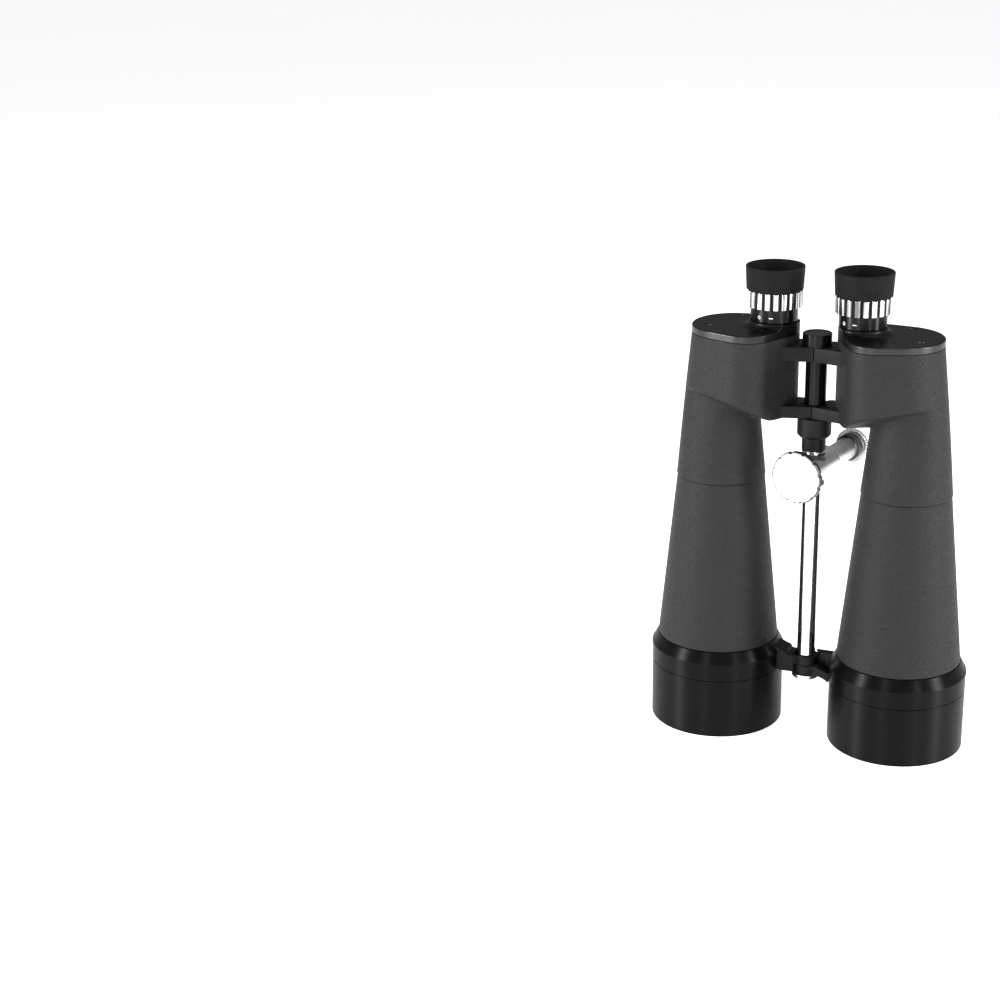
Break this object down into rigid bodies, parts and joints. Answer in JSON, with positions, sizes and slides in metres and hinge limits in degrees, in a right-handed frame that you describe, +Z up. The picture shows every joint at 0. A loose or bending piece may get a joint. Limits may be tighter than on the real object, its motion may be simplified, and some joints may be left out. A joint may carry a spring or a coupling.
{
  "type": "astronomy binoculars",
  "caption": "Large porro-prism binoculars with tapered barrels, individual-focus eyepieces, a folding hinge and a tripod post on a centre rod.",
  "frame": {"origin": "middle of the bounding box at the level that the hoods stand on", "axes": "+Z up along the barrels to the eyepieces, -Y the sky side, +Y the tripod side, +X the user's left half"},
  "size_m": [0.226, 0.1132, 0.3349],
  "materials": {
    "leatherette": "aluminium shell under a matte black pebble-grain covering",
    "satin_black": "satin black enamel on aluminium",
    "black_screw": "blackened steel",
    "coated_glass": "coated optical glass",
    "prism_glass": "polished prism glass",
    "cast_grey": "dark grey cast aluminium",
    "spring_steel": "spring steel",
    "chrome": "bright chrome plate",
    "rubber": "soft matte black rubber",
    "gloss_black": "gloss black anodised aluminium",
    "satin_silver": "satin silver aluminium",
    "liner": "black nylon",
    "brass": "plain brass",
    "bright_knob": "bright turned aluminium"
  },
  "bodies": {
    "left_half": {"left_objective_hood": "satin_black", "left_objective_cell": "satin_black", "left_lens_ring": "satin_black", "left_crown_lens": "coated_glass", "left_flint_lens": "coated_glass", "left_objective_barrel": "leatherette", "left_prism_housing": "leatherette", "left_prism_plate": "cast_grey", "left_front_prism": "prism_glass", "left_rear_prism": "prism_glass", "left_front_prism_clip": "spring_steel", "left_rear_prism_clip": "spring_steel", "left_rear_cover": "satin_black", "left_cover_screw_1": "black_screw", "left_cover_screw_2": "black_screw", "left_cover_screw_3": "black_screw", "left_eyepiece_tube": "satin_black", "hinge_shaft": "gloss_black", "hinge_top_cap": "gloss_black", "rod_socket": "cast_grey", "centre_rod": "chrome", "rod_end_nut": "satin_silver", "rod_stop_clip": "spring_steel"},
    "right_half": {"right_objective_hood": "satin_black", "right_objective_cell": "satin_black", "right_lens_ring": "satin_black", "right_crown_lens": "coated_glass", "right_flint_lens": "coated_glass", "right_objective_barrel": "leatherette", "right_prism_housing": "leatherette", "right_prism_plate": "cast_grey", "right_front_prism": "prism_glass", "right_rear_prism": "prism_glass", "right_front_prism_clip": "spring_steel", "right_rear_prism_clip": "spring_steel", "right_rear_cover": "satin_black", "right_cover_screw_1": "black_screw", "right_cover_screw_2": "black_screw", "right_cover_screw_3": "black_screw", "right_eyepiece_tube": "satin_black"},
    "left_ocular": {"left_ocular_carrier": "satin_black", "left_field_lens": "coated_glass", "left_ocular_spacer": "satin_black", "left_eye_lens": "coated_glass"},
    "left_focus": {"left_focus_ring": "chrome", "left_eyecup": "rubber"},
    "right_ocular": {"right_ocular_carrier": "satin_black", "right_field_lens": "coated_glass", "right_ocular_spacer": "satin_black", "right_eye_lens": "coated_glass"},
    "right_focus": {"right_focus_ring": "chrome", "right_eyecup": "rubber"},
    "post_carriage": {"post_liner": "liner"},
    "post": {"tripod_post": "satin_silver", "post_foot_ring": "satin_silver", "thread_insert": "brass"},
    "clamp_screw": {"clamp_pad": "brass"},
    "clamp_handle": {"clamp_knob": "bright_knob", "clamp_stud": "spring_steel"}
  },
  "joints": [
    {"name": "interpupillary_fold", "type": "hinge", "parent": "left_half", "child": "right_half", "pos_m": [0, -0.00917, 0.25], "axis": [0, 0, -1], "range_deg": [0, 44]},
    {"name": "left_focus_travel", "type": "slide", "parent": "left_half", "child": "left_ocular", "axis": [0, 0, 1], "range_m": [-0.0021, 0.0026]},
    {"name": "left_focus_turn", "type": "hinge", "parent": "left_ocular", "child": "left_focus", "pos_m": [0.0305, -0.00917, 0.313], "axis": [0, 0, 1], "range_deg": [-120, 150]},
    {"name": "right_focus_travel", "type": "slide", "parent": "right_half", "child": "right_ocular", "axis": [0, 0, 1], "range_m": [-0.0021, 0.0026]},
    {"name": "right_focus_turn", "type": "hinge", "parent": "right_ocular", "child": "right_focus", "pos_m": [-0.0305, -0.00917, 0.313], "axis": [0, 0, 1], "range_deg": [-120, 150]},
    {"name": "post_slide", "type": "slide", "parent": "left_half", "child": "post_carriage", "axis": [0, 0, 1], "range_m": [-0.045, 0.001]},
    {"name": "post_swivel", "type": "hinge", "parent": "post_carriage", "child": "post", "pos_m": [0, -0.00917, 0.194], "axis": [0, 0, 1], "range_deg": [-20, 12]},
    {"name": "clamp_travel", "type": "slide", "parent": "post", "child": "clamp_screw", "axis": [-0.2079, -0.9781, 0], "range_m": [0, 0.0016]},
    {"name": "clamp_turn", "type": "hinge", "parent": "clamp_screw", "child": "clamp_handle", "pos_m": [-0.00416, -0.02874, 0.194], "axis": [-0.2079, -0.9781, 0], "range_deg": [0, 540]}
  ],
  "couplings": [
    {"joint": "left_focus_travel", "follows": "left_focus_turn", "m_per_rad": 0.000955},
    {"joint": "right_focus_travel", "follows": "right_focus_turn", "m_per_rad": 0.000955},
    {"joint": "clamp_travel", "follows": "clamp_turn", "m_per_rad": 0.00015915}
  ]
}
